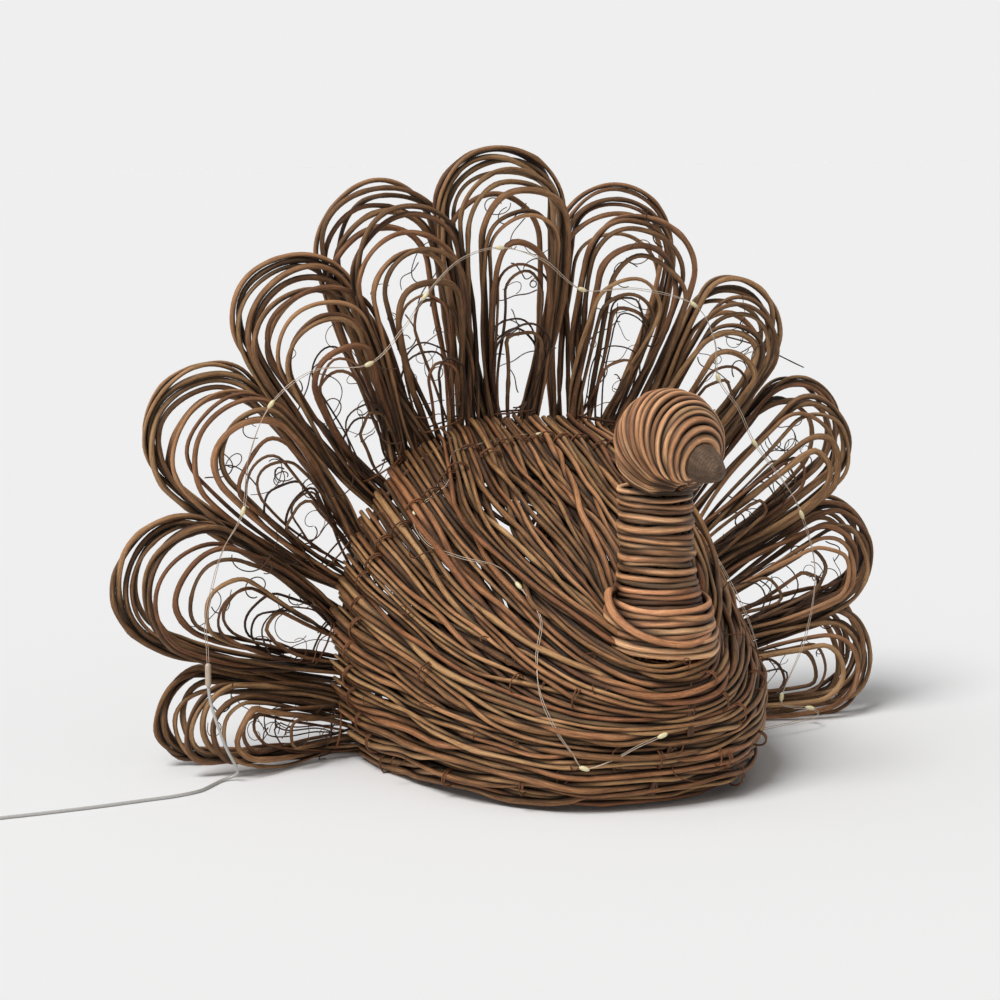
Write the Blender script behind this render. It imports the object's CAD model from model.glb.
# A turkey figure woven from vine rods: single rods, tying vines, light string and battery box.
# Metres, +Z up, the bird faces -Y, the floor is z = 0.
import math

import bpy
import numpy as np
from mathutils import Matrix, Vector


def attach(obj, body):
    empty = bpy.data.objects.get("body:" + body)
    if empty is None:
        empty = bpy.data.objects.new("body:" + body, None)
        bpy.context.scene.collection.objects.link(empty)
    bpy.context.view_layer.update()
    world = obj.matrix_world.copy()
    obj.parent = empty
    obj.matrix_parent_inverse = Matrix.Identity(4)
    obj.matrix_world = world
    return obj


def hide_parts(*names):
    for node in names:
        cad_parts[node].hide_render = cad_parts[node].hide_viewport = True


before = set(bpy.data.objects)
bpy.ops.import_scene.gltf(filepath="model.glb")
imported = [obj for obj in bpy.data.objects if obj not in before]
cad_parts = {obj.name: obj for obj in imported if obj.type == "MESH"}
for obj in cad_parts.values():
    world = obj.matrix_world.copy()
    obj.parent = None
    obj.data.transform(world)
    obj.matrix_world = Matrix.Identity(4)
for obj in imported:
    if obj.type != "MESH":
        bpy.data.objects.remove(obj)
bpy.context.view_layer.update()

MM = 0.001

# Camera
CAMERA_PLACE = (-0.6740, -1.3974, 0.3738)
CAMERA_TARGET = (-0.015856, 0.0809, 0.146378)
CAMERA_LENS = 100.8
SENSOR_WIDTH = 36

# Driving dimensions of the body
FOOTPRINT_RIGHT = -5.6 * MM  # the footprint's middle, from the foot of the rear arch's middle
FOOTPRINT_FRONT = -80.9 * MM
BODY_HALF_WIDTH = 116 * MM
BODY_HEIGHT = 189 * MM
SHOULDER_HEIGHT = 60 * MM
FOOT_TUCK = 20 * MM
BASE_DEPTH = 170 * MM
BREAST_BULGE = 15 * MM
BREAST_TOP = 91 * MM
NECK_CLEAR = 68 * MM
BODY_LEAN = -7 * MM
NECK_LEAN = 12 * MM
REAR_FACE = 2.8 * MM
RIDGE_STAND_OFF = 4 * MM
RIDGE_SWELL = 30 * MM
RIDGE_CROWN = 5 * MM

# Driving dimensions of the neck, head and beak
NECK_X = 4.6 * MM
NECK_Y = -152 * MM
NECK_BASE_RADIUS = 28 * MM
NECK_RADIUS = 20.8 * MM
NECK_BOTTOM = 87 * MM
NECK_TOP = 165 * MM
NECK_SET_BACK = 4 * MM
NECK_SET_LEFT = 0.5 * MM
NECK_ROD = 4.5 * MM
NECK_FOOT_RADIUS = 28.4 * MM  # the lowest turns lie round the foot
NECK_SLOPE_RADIUS = 23.6 * MM  # where the foot goes over into the waist
NECK_WAIST_RADIUS = 20.6 * MM
NECK_COLLAR_RADIUS = 21.6 * MM  # under the head
HEAD_ROD = 5 * MM
HEAD_RADIUS = 30.4 * MM
HEAD_X = 6.2 * MM
HEAD_Y = -159.5 * MM
BEAK_RADIUS = 10.5 * MM
BEAK_LENGTH = 15 * MM
BEAK_TURN = math.radians(14)
BEAK_DROP = math.radians(16)
HEAD_Z = NECK_TOP + HEAD_RADIUS

# Driving dimensions of the tail
HUB_HEIGHT = 5 * MM
TAIL_REACH = 312 * MM
PETAL_HALF_WIDTH = 40 * MM
PETAL_ROD = 3.9 * MM
PETAL_FRONT = 2.3 * MM
PETAL_LAYER = 10.2 * MM
PETAL_LEAN = 34 * MM
STEM_DEPTH = 30 * MM
STEM_SPREAD = 11 * MM
LOOP_FALL = 110 * MM  # the innermost loop's top lies this far under the outermost

# Rods, tying vines, string and lead
BODY_ROD = 3.9 * MM
RIDGE_ROD = 3.8 * MM
TIE_VINE = 1.2 * MM
TENDRIL = 0.8 * MM
CANE = 1.7 * MM
CANE_APART = 1.4 * MM
STRING_WIRE = 0.4 * MM
STRING_APART = 1.1 * MM
STRING_TWISTS = 9
STRING_LIE = 2.4 * MM  # the two wires' middle above the body's skin
STRING_FRONT = -26.1 * MM
BEAD_LENGTH = 6 * MM
BEAD_WIDTH = 2.7 * MM
LEAD = 1.8 * MM
SPLICE = 3.4 * MM
SPLICE_LENGTH = 13 * MM
COIL_X = -364 * MM
COIL_Y = -40 * MM
COIL_RADIUS = 12.6 * MM
COIL_STEP = 2.65 * MM
COIL_LAYER = 2.5 * MM
COIL_LOOPS = 3.25
BOX_STAND_OFF = 18 * MM
LEAD_ENTRY = 5.4 * MM
LEAD_HOLE_DEPTH = 8 * MM
SLEEVE_LENGTH = 7 * MM
GAP = 0.3 * MM

# How the body's and ridge's rods are shared out
COURSE_SHARE = 0.8
COURSE_COUNT = 13
RIDGE_MEET_SHARE = 0.42
RIDGE_LOW_SHARE = 0.02
RIDGE_WRAP = math.radians(128)
RIDGE_COUNT = 6
BUNDLE_COUNT = 15
BUNDLE_RODS = 7
# A bundle's rods as they lie where they are tied: beside and above its middle, in rods
BUNDLE_SPREAD = np.array([-0.88, 0, 0.88, 1.95, -0.45, 0.45, 0])
BUNDLE_RISE = np.array([0, 0.5, 0, -0.3, -0.8, -0.8, -1.5])
OUTER_RODS = 4  # of a bundle, the others lie under them
RIDGE_BUNDLES = 12
LINING_RODS = 84
RIDGE_LINING = 36
ARCH_ROD_AWAY = 3.4 * MM  # from the middle of the arch's wire
TIED_LENGTH = 18 * MM  # this far from the rear arch the bundles keep their shape
TUCK_IN = 6 * MM  # the ridge's ends go this far in under the neck's turns

# The petals
PETAL_ANGLES_DEG = [-83, -64, -45.5, -29.5, -16.5, -3, 13, 30.5, 48, 65, 82]
PETAL_REACH_SHARES = [0.65, 0.76, 0.862, 0.923, 0.965, 1, 0.94, 0.885, 0.83, 0.74, 0.673]
PETAL_WIDTH_SHARES = [0.68, 1, 1, 0.95, 1, 0.97, 0.98, 0.8, 0.8, 0.8, 0.9]
# A petal's loops: how far the top lies down, its width and how far it leans to the front
LOOP_SHARES = [
    (0, 1, 0), (0.015, 0.985, 0), (0.05, 0.95, 0), (0.068, 0.93, 0), (0.12, 0.88, 0), (0.2, 0.84, 0),
    (0.12, 0.88, 0.32), (0.15, 0.85, 0.4), (0.2, 0.8, 0.5), (0.28, 0.68, 0.6), (0.31, 0.64, 0.66),
    (0.42, 0.5, 0.85), (0.5, 0.42, 0.6), (0.56, 0.36, 0.5), (0.85, 0.25, 0.5),
]
DARK_LOOPS = 3  # the innermost ones

# The lead's route from the splice down to the floor and out to the coil
LEAD_ROUTE = [
    (-0.2095, -0.0261, 0.056), (-0.2085, -0.0264, 0.048), (-0.2055, -0.0275, 0.036),
    (-0.2005, -0.0275, 0.022), (-0.194, -0.025, 0.01), (-0.1915, -0.021, 0.0046),
    (-0.1945, -0.0185, 0.0019), (-0.201, -0.0205, 0.001), (-0.21, -0.0295, 0.001),
    (-0.22, -0.0385, 0.001), (-0.236, -0.044, 0.001), (-0.253, -0.046, 0.001),
    (-0.277, -0.0488, 0.001), (-0.301, -0.0506, 0.001), (-0.325, -0.0515, 0.001),
    (-0.345, -0.0517, 0.001),
]

# The string's stations in front of the tail: x, z and whether a light sits there
TAIL_ROUTE = [
    (-0.2095, 0.0696, False), (-0.2098, 0.078, False), (-0.2105, 0.092, False),
    (-0.207, 0.11, False), (-0.2, 0.132, False), (-0.188, 0.153, True), (-0.184, 0.183, False),
    (-0.171, 0.2115, True), (-0.146, 0.229, False), (-0.113, 0.2315, True), (-0.092, 0.251, False),
    (-0.079, 0.2685, True), (-0.058, 0.288, False), (-0.033, 0.2946, True), (-0.006, 0.287, False),
    (0.0186, 0.2696, True), (0.054, 0.269, False), (0.091, 0.259, True), (0.105, 0.238, False),
    (0.108, 0.215, True), (0.122, 0.196, False), (0.133, 0.175, True), (0.153, 0.151, False),
    (0.166, 0.13, True), (0.176, 0.095, False), (0.17, 0.055, False), (0.154, 0.019, True),
    (0.162, 0.012, False), (0.174, 0.0105, True),
]
STRING_CROSSING = [(0.172, -0.038, 0.008), (0.14, -0.048, 0.007), (0.112, -0.058, 0.007)]

# Its stations over the body: share up the skin, turn in degrees; over the ridge: across, along
RIGHT_ROUTE_SHARES = [
    (0.03, 69, False), (0.11, 66, False), (0.24, 64, True), (0.34, 63, False), (0.45, 63, False),
    (0.52, 68, False), (0.56, 74, True), (0.66, 78, False), (0.75, 84, False),
]
RIDGE_ROUTE_SHARES = [
    (across, 0.1, across == 0.05) for across in (0.93, 0.75, 0.5, 0.25, 0.05, -0.25, -0.5, -0.75, -0.93)
]
LEFT_ROUTE_SHARES = [
    (0.76, -82, False), (0.66, -82, True), (0.64, -76, False), (0.68, -69, False),
    (0.76, -62, False), (0.8, -55, True), (0.74, -48, False), (0.62, -42, False), (0.5, -36, False),
    (0.38, -29, False), (0.28, -23, False), (0.21, -19, True), (0.26, -13, False),
    (0.34, -8, False), (0.4, -3, True),
]

# The distance between the points of a line, and the sides of a rod
ROD_STEP = 3.2 * MM
PETAL_STEP = 3.4 * MM
THIN_LOOP_STEP = 3 * MM
LEAD_STEP = 4 * MM
ENTRY_STEP = 2 * MM
STRING_STEP = 2 * MM
STEM_TIE_STEP = 1.6 * MM
HOOK_STEP = 1.5 * MM
TIE_STEP = 1.4 * MM
CURL_STEP = 1.2 * MM
ROD_SIDES = 8
THIN_SIDES = 5
WOUND_SIDES = 10

QUARTER_TURN = math.pi / 2
FULL_TURN = math.pi * 2
SHIFT = np.array((-FOOTPRINT_RIGHT, -FOOTPRINT_FRONT, 0.0))
rng = np.random.RandomState(11)


# The camera is made first
def add_object(name, data):
    made = bpy.data.objects.new(name, data)
    bpy.context.scene.collection.objects.link(made)
    return made


def aim(made, way):
    made.rotation_euler = Vector(way).to_track_quat("-Z", "Y").to_euler()


def add_camera():
    data = bpy.data.cameras.new("camera")
    data.lens = CAMERA_LENS
    data.sensor_width = SENSOR_WIDTH
    camera = add_object("camera", data)
    camera.location = CAMERA_PLACE
    aim(camera, Vector(CAMERA_TARGET) - Vector(CAMERA_PLACE))
    bpy.context.scene.camera = camera


add_camera()


# Small helpers
def mix(a, b, share):
    return a + (b - a) * share


def ease(share):
    s = np.clip(share, 0, 1)
    return s * s * (3 - 2 * s)


def unit(vectors):
    size = np.linalg.norm(vectors, axis=-1, keepdims=True)
    return vectors / np.maximum(size, 1e-12)


def lengths_along(points):
    steps = np.linalg.norm(np.diff(points, axis=0), axis=1)
    return np.concatenate(([0.0], np.cumsum(steps)))


def even(points, spacing):
    """The same line with points at even distances."""
    along = lengths_along(points)
    count = max(4, int(round(along[-1] / spacing)) + 1)
    wanted = np.linspace(0, along[-1], count)
    return np.stack([np.interp(wanted, along, points[:, k]) for k in range(3)], axis=1)


def smooth_line(knots, spacing):
    """A Catmull-Rom line through the knots, with even points."""
    knots = np.asarray(knots, float)
    ends = np.concatenate(([2 * knots[0] - knots[1]], knots, [2 * knots[-1] - knots[-2]]))
    pieces = []
    shares = np.linspace(0, 1, 12, endpoint=False)[:, None]
    for i in range(len(knots) - 1):
        p0, p1, p2, p3 = ends[i:i + 4]
        line = 2 * p1 + (p2 - p0) * shares
        line = line + (2 * p0 - 5 * p1 + 4 * p2 - p3) * shares**2
        line = line + (3 * p1 - p0 - 3 * p2 + p3) * shares**3
        pieces.append(line / 2)
    pieces.append(knots[-1:])
    return even(np.concatenate(pieces), spacing)


def wander(count, size, waves):
    """A smooth random line with about this many waves."""
    along = np.linspace(0, 1, count)
    total = np.zeros(count)
    for k in range(1, 4):
        turns = waves * k / 2 * rng.uniform(0.7, 1.3)
        total += np.sin(FULL_TURN * (turns * along + rng.rand())) / k
    return total * size / 1.4


# The body's skin, as it is in the frame
def arch_half_width(height):
    below = np.clip((SHOULDER_HEIGHT - height) / SHOULDER_HEIGHT, 0, 1)
    above = np.clip((height - SHOULDER_HEIGHT) / (BODY_HEIGHT - SHOULDER_HEIGHT), 0, 1)
    upper = BODY_HALF_WIDTH * (1 - above * above) ** 0.375
    return np.where(height < SHOULDER_HEIGHT, BODY_HALF_WIDTH - FOOT_TUCK * below * below, upper)


arch_heights = BODY_HEIGHT * np.sin(np.linspace(0, QUARTER_TURN, 401))
arch_widths = arch_half_width(arch_heights)
arch_lengths = lengths_along(np.stack([arch_widths, arch_heights, 0 * arch_widths], axis=1))
ARCH_LENGTH = arch_lengths[-1]


def arch_at(share):
    along = np.clip(share, 0, 1) * ARCH_LENGTH
    return np.interp(along, arch_lengths, arch_widths), np.interp(along, arch_lengths, arch_heights)


def skin_point(share, turn):
    share, turn = np.broadcast_arrays(np.asarray(share, float), np.asarray(turn, float))
    share = np.clip(share, 0, 1)
    width, height = arch_at(share)
    front = BREAST_TOP * share**0.8
    rise = np.minimum(1, front / SHOULDER_HEIGHT)
    depth = BASE_DEPTH + BREAST_BULGE * np.sin(rise * QUARTER_TURN) - REAR_FACE
    squareness = 2 / mix(2.5, 2.1, np.minimum(1, share * 2))
    side = np.abs(np.sin(turn))
    ahead = np.maximum(0, np.cos(turn))
    passing = mix(width, NECK_CLEAR, ease(ahead * 1.6))
    wide = np.maximum(width, passing)
    x = BODY_LEAN + np.sign(turn) * wide * side**squareness + NECK_LEAN * ahead * share
    y = -REAR_FACE - depth * ahead**squareness
    z = mix(front, height, (1 - ahead) ** 1.15)
    return np.stack([x, y, z], axis=-1)


def skin_normal(share, turn):
    small = 0.004
    share = np.clip(share, small, 1 - small)
    limit = QUARTER_TURN - small
    near = np.clip(turn, -limit, limit)
    up = skin_point(share + small, turn) - skin_point(share - small, turn)
    along = skin_point(share, near + small) - skin_point(share, near - small)
    return unit(np.cross(along, up))


def inside_skin(share, turn, depth):
    return skin_point(share, turn) - skin_normal(share, turn) * np.asarray(depth)[..., None]


def neck_radius(share):
    return NECK_RADIUS + (NECK_BASE_RADIUS - NECK_RADIUS) * (1 - share) ** 2


def neck_middle(share):
    share = np.asarray(share, float)
    x = NECK_X - NECK_SET_LEFT * share
    y = NECK_Y + NECK_SET_BACK * share
    return np.stack([x, y, mix(NECK_BOTTOM, NECK_TOP, share)], axis=-1)


def ridge_point(across, along):
    across, along = np.broadcast_arrays(np.asarray(across, float), np.asarray(along, float))
    width, height = arch_at(1 - np.abs(across) * (1 - COURSE_SHARE))
    meet = mix(RIDGE_MEET_SHARE, RIDGE_LOW_SHARE, across * across)
    middle = neck_middle(meet)
    around = across * RIDGE_WRAP
    reach = neck_radius(meet) + RIDGE_STAND_OFF
    start = np.stack([BODY_LEAN + np.sign(across) * width, 0 * width - REAR_FACE, height], axis=-1)
    end_x = middle[..., 0] + reach * np.sin(around)
    end_y = middle[..., 1] + reach * np.cos(around)
    end = np.stack([end_x, end_y, middle[..., 2]], axis=-1)
    point = mix(start, end, along[..., None])
    swell = np.sin(math.pi * np.clip(along, 0, 1))
    point[..., 0] += across * np.abs(across) * RIDGE_SWELL * swell
    point[..., 2] += RIDGE_CROWN * swell
    return point


def ridge_normal(across, along):
    small = 0.01
    near = np.clip(along, small, 1 - small)
    side = ridge_point(across + small, along) - ridge_point(across - small, along)
    ahead = ridge_point(across, near + small) - ridge_point(across, near - small)
    return unit(np.cross(ahead, side))


# Rods: each has its line, its thickness along it and its tint
KNOT_APART = 48 * MM  # along a rod, on average
KNOT_SHARE = 0.16  # of the rod's thickness
GRAIN_LENGTH = 5.0  # of the bark's pattern, of which each rod shows its own stretch
CLEAR_SHARE = 1.06  # a rod's middle stays this many of its radii above the floor
CUT_SHARE = 0.86  # the radius at a cut end
ROUND_SHARE = 0.3  # how far the cut end bulges, of its radius
OVAL_SHARE = 0.05  # how far a rod is from round
FIRST_SIDE = (0.31, 0.52, 0.79)  # along none of the rods


class Rod:
    def __init__(self, points, thick, taper=0.25, tone=None, red=None, rough=0.05):
        self.points = np.asarray(points, float)
        count = len(self.points)
        along = np.linspace(0, 1, count)
        narrow = 1 - taper * (along if rng.rand() < 0.5 else 1 - along)
        lumps = 1 + rough * wander(count, 1, 9) + rough * wander(count, 0.6, 25)
        length = lengths_along(self.points)
        for place in rng.rand(int(length[-1] / KNOT_APART)) * length[-1]:
            lumps = lumps + KNOT_SHARE * np.exp(-(((length - place) / thick) ** 2))
        self.radii = thick / 2 * narrow * lumps
        self.tone = rng.rand() if tone is None else tone
        self.red = rng.rand() if red is None else red
        self.start = rng.uniform(0, GRAIN_LENGTH)
        self.place = 0.0
        self.near = None
        self.loose = np.ones(count)

    def hold(self, at_start, at_end):
        """Keeps the ends in place over these lengths when rods are pushed apart."""
        along = lengths_along(self.points)
        if at_start:
            self.loose = self.loose * ease(along / at_start - 1)
        if at_end:
            self.loose = self.loose * ease((along[-1] - along) / at_end - 1)


def ellipse(angle, across, wide, up, high):
    """Points round an ellipse that is this wide and high each way from its middle."""
    return across * (wide * np.cos(angle))[:, None] + up * (high * np.sin(angle))[:, None]


def frames_along(points):
    ahead = unit(np.gradient(points, axis=0))
    sides = np.zeros_like(points)
    side = unit(np.cross(ahead[0], FIRST_SIDE))
    for i in range(len(points)):
        side = unit(side - ahead[i] * (side @ ahead[i]))
        sides[i] = side
    return ahead, sides, np.cross(ahead, sides)


def rod_tube(rod, angles):
    """The tube's points, their places in the bark's grain and their tints, the cut ends' middles last."""
    rod.points[:, 2] = np.maximum(rod.points[:, 2], rod.radii * CLEAR_SHARE)
    ahead, side, up = frames_along(rod.points)
    wave = 1 + OVAL_SHARE * np.cos(2 * angles + rng.rand() * FULL_TURN)
    flat = np.cos(angles)
    high = np.sin(angles)
    ring = flat[None, :, None] * side[:, None] + high[None, :, None] * up[:, None]
    radii = rod.radii.copy()
    radii[[0, -1]] *= CUT_SHARE
    tube = rod.points[:, None] + ring * (radii[:, None] * wave[None])[..., None]
    first = rod.points[0] - ahead[0] * radii[0] * ROUND_SHARE
    last = rod.points[-1] + ahead[-1] * radii[-1] * ROUND_SHARE
    along = lengths_along(rod.points) + rod.start
    grain = np.zeros_like(tube)
    grain[..., 0] = along[:, None]
    grain[..., 1] = flat * rod.radii[:, None]
    grain[..., 2] = high * rod.radii[:, None]
    ends = [(along[0], 0, 0), (along[-1], 0, 0)]
    tints = np.tile((rod.tone, rod.red, 1.0, 1.0), (tube.shape[0] * tube.shape[1] + 2, 1))
    if rod.near is not None:
        tints[:-2, 2] = shade_of(rod, ring).ravel()
    points = np.concatenate([tube.reshape(-1, 3), [first, last]]) + SHIFT
    return points, np.concatenate([grain.reshape(-1, 3), ends]), tints


def tube_faces(first, count, sides):
    """The faces between the rings from point number first on, and a fan over each cut end."""
    faces = []
    pairs = [(j, (j + 1) % sides) for j in range(sides)]
    last = first + (count - 1) * sides
    for low in range(first, last, sides):
        faces += [(low + j, low + k, low + sides + k, low + sides + j) for j, k in pairs]
    for j, k in pairs:
        faces.append((last + sides, first + k, first + j))
        faces.append((last + sides + 1, last + j, last + k))
    return faces


def make_piece(name, rods, material, nodes=(), sides=ROD_SIDES):
    """One mesh of many rods, each a closed tube with rounded cut ends."""
    angles = np.linspace(0, FULL_TURN, sides, endpoint=False)
    tubes = [rod_tube(rod, angles) for rod in rods]
    points, grains, tints = (np.concatenate(part) for part in zip(*tubes))
    faces = []
    first = 0
    for rod in rods:
        faces += tube_faces(first, len(rod.points), sides)
        first += len(rod.points) * sides + 2
    mesh = bpy.data.meshes.new(name)
    mesh.from_pydata(points.tolist(), [], faces)
    grain_data = mesh.attributes.new("grain", "FLOAT_VECTOR", "POINT")
    grain_data.data.foreach_set("vector", grains.astype(np.float32).ravel())
    tint_data = mesh.attributes.new("tint", "FLOAT_COLOR", "POINT")
    tint_data.data.foreach_set("color", tints.astype(np.float32).ravel())
    mesh.polygons.foreach_set("use_smooth", [True] * len(mesh.polygons))
    mesh.materials.append(material)
    piece = add_object(name, mesh)
    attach(piece, "figure")
    if nodes:
        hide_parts(*nodes)


# Rods that would cross are pushed apart until they rest on each other
SETTLE_SMOOTHING = 6
TOUCH_SHARE = 2.1  # points nearer than this many of the thickest radius are looked at
PUSH_SHARE = 0.35  # of what two rods overlap, taken up in one round
MEETING_SHARE = 0.6  # of the pushes on a point, by which their sum is divided
CLOSEST = 0.01 * MM
SMALLEST = 1e-9


def close_pairs(points, reach):
    cells = np.floor(points / reach).astype(np.int64)
    cells = cells - cells.min(axis=0) + 1
    size = cells.max(axis=0) + 2
    keys = (cells[:, 0] * size[1] + cells[:, 1]) * size[2] + cells[:, 2]
    order = np.argsort(keys, kind="stable")
    ranked = keys[order]
    firsts = []
    seconds = []
    for dx in (-1, 0, 1):
        for dy in (-1, 0, 1):
            for dz in (-1, 0, 1):
                offset = (dx * size[1] + dy) * size[2] + dz
                if offset < 0:
                    continue
                start = np.searchsorted(ranked, ranked + offset, "left")
                stop = np.searchsorted(ranked, ranked + offset, "right")
                count = stop - start
                before = np.repeat(np.cumsum(count) - count, count)
                a = np.repeat(np.arange(len(ranked)), count)
                b = np.repeat(start, count) + np.arange(count.sum()) - before
                keep = a < b if offset == 0 else np.ones(len(a), bool)
                firsts.append(order[a[keep]])
                seconds.append(order[b[keep]])
    return np.concatenate(firsts), np.concatenate(seconds)


def gathered(rods):
    """All points of the rods, their radii and the number of the rod that each belongs to."""
    points = np.concatenate([rod.points for rod in rods])
    radii = np.concatenate([rod.radii for rod in rods])
    return points, radii, np.repeat(np.arange(len(rods)), [len(rod.points) for rod in rods])


def between_rods(points, owner, reach):
    """The pairs of near points that belong to different rods."""
    a, b = close_pairs(points, reach)
    other = owner[a] != owner[b]
    return a[other], b[other]


def blurred(moved, is_end):
    """Each point's shift drawn towards its neighbours', apart from the rods' ends."""
    near = (np.roll(moved, 1, axis=0) + np.roll(moved, -1, axis=0) + 2 * moved) / 4
    return np.where(is_end[:, None], moved, near)


def pushed(now, radii, ahead, owner, reach):
    """How far each point is pushed out of the rods that it runs into."""
    a, b = between_rods(now, owner, reach)
    apart = now[b] - now[a]
    straight = np.linalg.norm(apart, axis=1)
    apart = apart - ahead[a] * np.sum(apart * ahead[a], axis=1, keepdims=True)
    distance = np.linalg.norm(apart, axis=1)
    short = (radii[a] + radii[b]) - distance
    touching = (short > 0) & (straight < reach)
    a, b, apart = a[touching], b[touching], apart[touching]
    distance, short = distance[touching], short[touching]
    push = apart / np.maximum(distance, CLOSEST)[:, None] * (short * PUSH_SHARE)[:, None]
    change = np.zeros_like(now)
    weight = np.full(len(now), SMALLEST)
    np.add.at(change, a, -push)
    np.add.at(change, b, push)
    np.add.at(weight, a, 1.0)
    np.add.at(weight, b, 1.0)
    return change / np.maximum(1, weight * MEETING_SHARE)[:, None]


def settle(rods, rounds, most):
    """Pushes the rods apart in small rounds, no point by more than most in all."""
    points, radii, owner = gathered(rods)
    ahead = np.concatenate([unit(np.gradient(rod.points, axis=0)) for rod in rods])
    loose = np.concatenate([rod.loose for rod in rods])[:, None]
    changes = owner[1:] != owner[:-1]
    is_end = np.append(True, changes) | np.append(changes, True)
    moved = np.zeros_like(points)
    reach = TOUCH_SHARE * radii.max()
    for _ in range(rounds):
        moved = moved + pushed(points + moved, radii, ahead, owner, reach)
        size = np.linalg.norm(moved, axis=1, keepdims=True)
        moved = moved * np.minimum(1, most / np.maximum(size, SMALLEST))
        moved = blurred(moved, is_end) * loose
    for _ in range(SETTLE_SMOOTHING):
        moved = blurred(moved, is_end)
    start = 0
    for rod in rods:
        rod.points = rod.points + moved[start:start + len(rod.points)]
        start += len(rod.points)


# Between rods that lie close the bark is darker
SHADE_REACH = 9 * MM
SHADE_STEP = 3.3 * MM
SHADE_DEPTH = 2.6
SHADE_PAIRS = [(0, 0), (1, 1), (2, 2), (0, 1), (0, 2), (1, 2)]
COVER_SHARES = (0.5, 0.45, 0.05)  # of the wood straight ahead, along the same line and all round


def shade(rods, strength=1.0):
    """Notes for each point how much wood lies near it and on which sides."""
    points, radii, owner = gathered(rods)
    a, b = between_rods(points, owner, SHADE_REACH)
    a, b = np.concatenate([a, b]), np.concatenate([b, a])
    away = points[b] - points[a]
    distance = np.linalg.norm(away, axis=1)
    weight = strength * radii[b] * SHADE_STEP / np.maximum(distance, SHADE_STEP) ** 2
    weight = weight * np.clip(1.5 - distance / SHADE_REACH, 0, 1)
    away = unit(away)
    count = len(points)
    total = np.bincount(a, weight, count)
    toward = np.stack([np.bincount(a, weight * away[:, k], count) for k in range(3)], axis=1)
    products = [np.bincount(a, weight * away[:, j] * away[:, k], count) for j, k in SHADE_PAIRS]
    spread = np.stack(products, axis=1)
    start = 0
    for rod in rods:
        part = slice(start, start + len(rod.points))
        rod.near = (total[part], toward[part], spread[part])
        start += len(rod.points)


def shade_of(rod, ring):
    """How open each point of the tube's rings is, from 0 to 1."""
    total, toward, spread = rod.near
    x, y, z = ring[..., 0], ring[..., 1], ring[..., 2]
    straight = np.einsum("ijk,ik->ij", ring, toward)
    s = spread[:, None, :]
    both = s[..., 0] * x * x + s[..., 1] * y * y + s[..., 2] * z * z
    both = both + 2 * (s[..., 3] * x * y + s[..., 4] * x * z + s[..., 5] * y * z)
    covered = straight * COVER_SHARES[0] + both * COVER_SHARES[1] + total[:, None] * COVER_SHARES[2]
    return np.exp(-SHADE_DEPTH * np.maximum(0, covered))


# Materials
GRAIN_DEPTH = 0.7 * MM
SPECK_DEPTH = 0.1 * MM
SPECK_SCALE = 900  # specks to a metre
SPECKLE = 0.08
# Patches, streaks and fine grain: how many to a metre along the rod and across it, detail, roughness
GRAINS = [(46, 260, 4, 0.65), (90, 1500, 3, 0.6), (420, 2600, 3, 0.7)]
# The barks: tints from dark to light of plain and of reddish rods, roughness, depth of the grain
VINE_LOOKS = {
    "brown_vine": (
        [(45, 29, 18), (104, 71, 43), (151, 107, 67), (204, 159, 109)],
        [(54, 31, 19), (114, 69, 43), (160, 102, 65), (206, 147, 101)],
        0.42, 1,
    ),
    "dark_vine": (
        [(36, 24, 16), (88, 61, 39), (130, 94, 61), (182, 142, 99)],
        [(44, 26, 17), (97, 61, 39), (138, 91, 60), (184, 134, 94)],
        0.42, 0.9,
    ),
    "tan_vine": (
        [(104, 67, 41), (170, 116, 77), (218, 158, 110), (250, 202, 152)],
        [(110, 65, 41), (176, 112, 77), (220, 152, 108), (248, 192, 142)],
        0.42, 0.85,
    ),
    "thin_vine": (
        [(34, 24, 18), (62, 44, 32), (98, 68, 48)],
        [(40, 26, 18), (76, 47, 32), (112, 74, 50)],
        0.5, 0.4,
    ),
    "tie_vine": (
        [(48, 30, 19), (86, 54, 33), (124, 81, 50)],
        [(56, 32, 20), (100, 58, 35), (136, 86, 54)],
        0.46, 0.4,
    ),
    "bark": (
        [(38, 28, 21), (82, 63, 49), (128, 104, 84)],
        [(44, 29, 20), (92, 66, 49), (132, 100, 77)],
        0.5, 0.9,
    ),
}
TINT_PLACES = {3: (0, 0.5, 1), 4: (0, 0.35, 0.65, 1)}
# Everything else: tint, roughness and how metallic it is
PLAIN_LOOKS = {
    "clear_wire": ((190, 172, 152), 0.3, 0.2),
    "lead_skin": ((186, 184, 180), 0.3, 0.2),
    "bead_resin": ((226, 214, 170), 0.25, 0),
    "steel_wire": ((66, 50, 40), 0.45, 0.2),
    "case_plastic": ((222, 220, 214), 0.5, 0),
    "switch_plastic": ((52, 50, 48), 0.5, 0),
    "cell_wrap": ((62, 70, 80), 0.35, 0.1),
}


def colour(red, green, blue):
    """A colour as it shows on screen, from 0 to 255, in linear light."""
    values = []
    for value in (red, green, blue):
        share = value / 255
        values.append(share / 12.92 if share < 0.04045 else ((share + 0.055) / 1.055) ** 2.4)
    return (*values, 1)


def new_material(name):
    material = bpy.data.materials.new(name)
    material.use_nodes = True
    tree = material.node_tree
    return material, tree, tree.nodes["Principled BSDF"]


def set_inputs(tree, node, inputs):
    """Links each input to the socket given for it, or sets it to the value given."""
    for key, value in inputs.items():
        if isinstance(value, bpy.types.NodeSocket):
            tree.links.new(value, node.inputs[key])
        else:
            node.inputs[key].default_value = value


def add_node(tree, kind, inputs, output=0, **settings):
    node = tree.nodes.new("ShaderNode" + kind)
    for key, value in settings.items():
        setattr(node, key, value)
    set_inputs(tree, node, inputs)
    return node.outputs[output]


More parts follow.
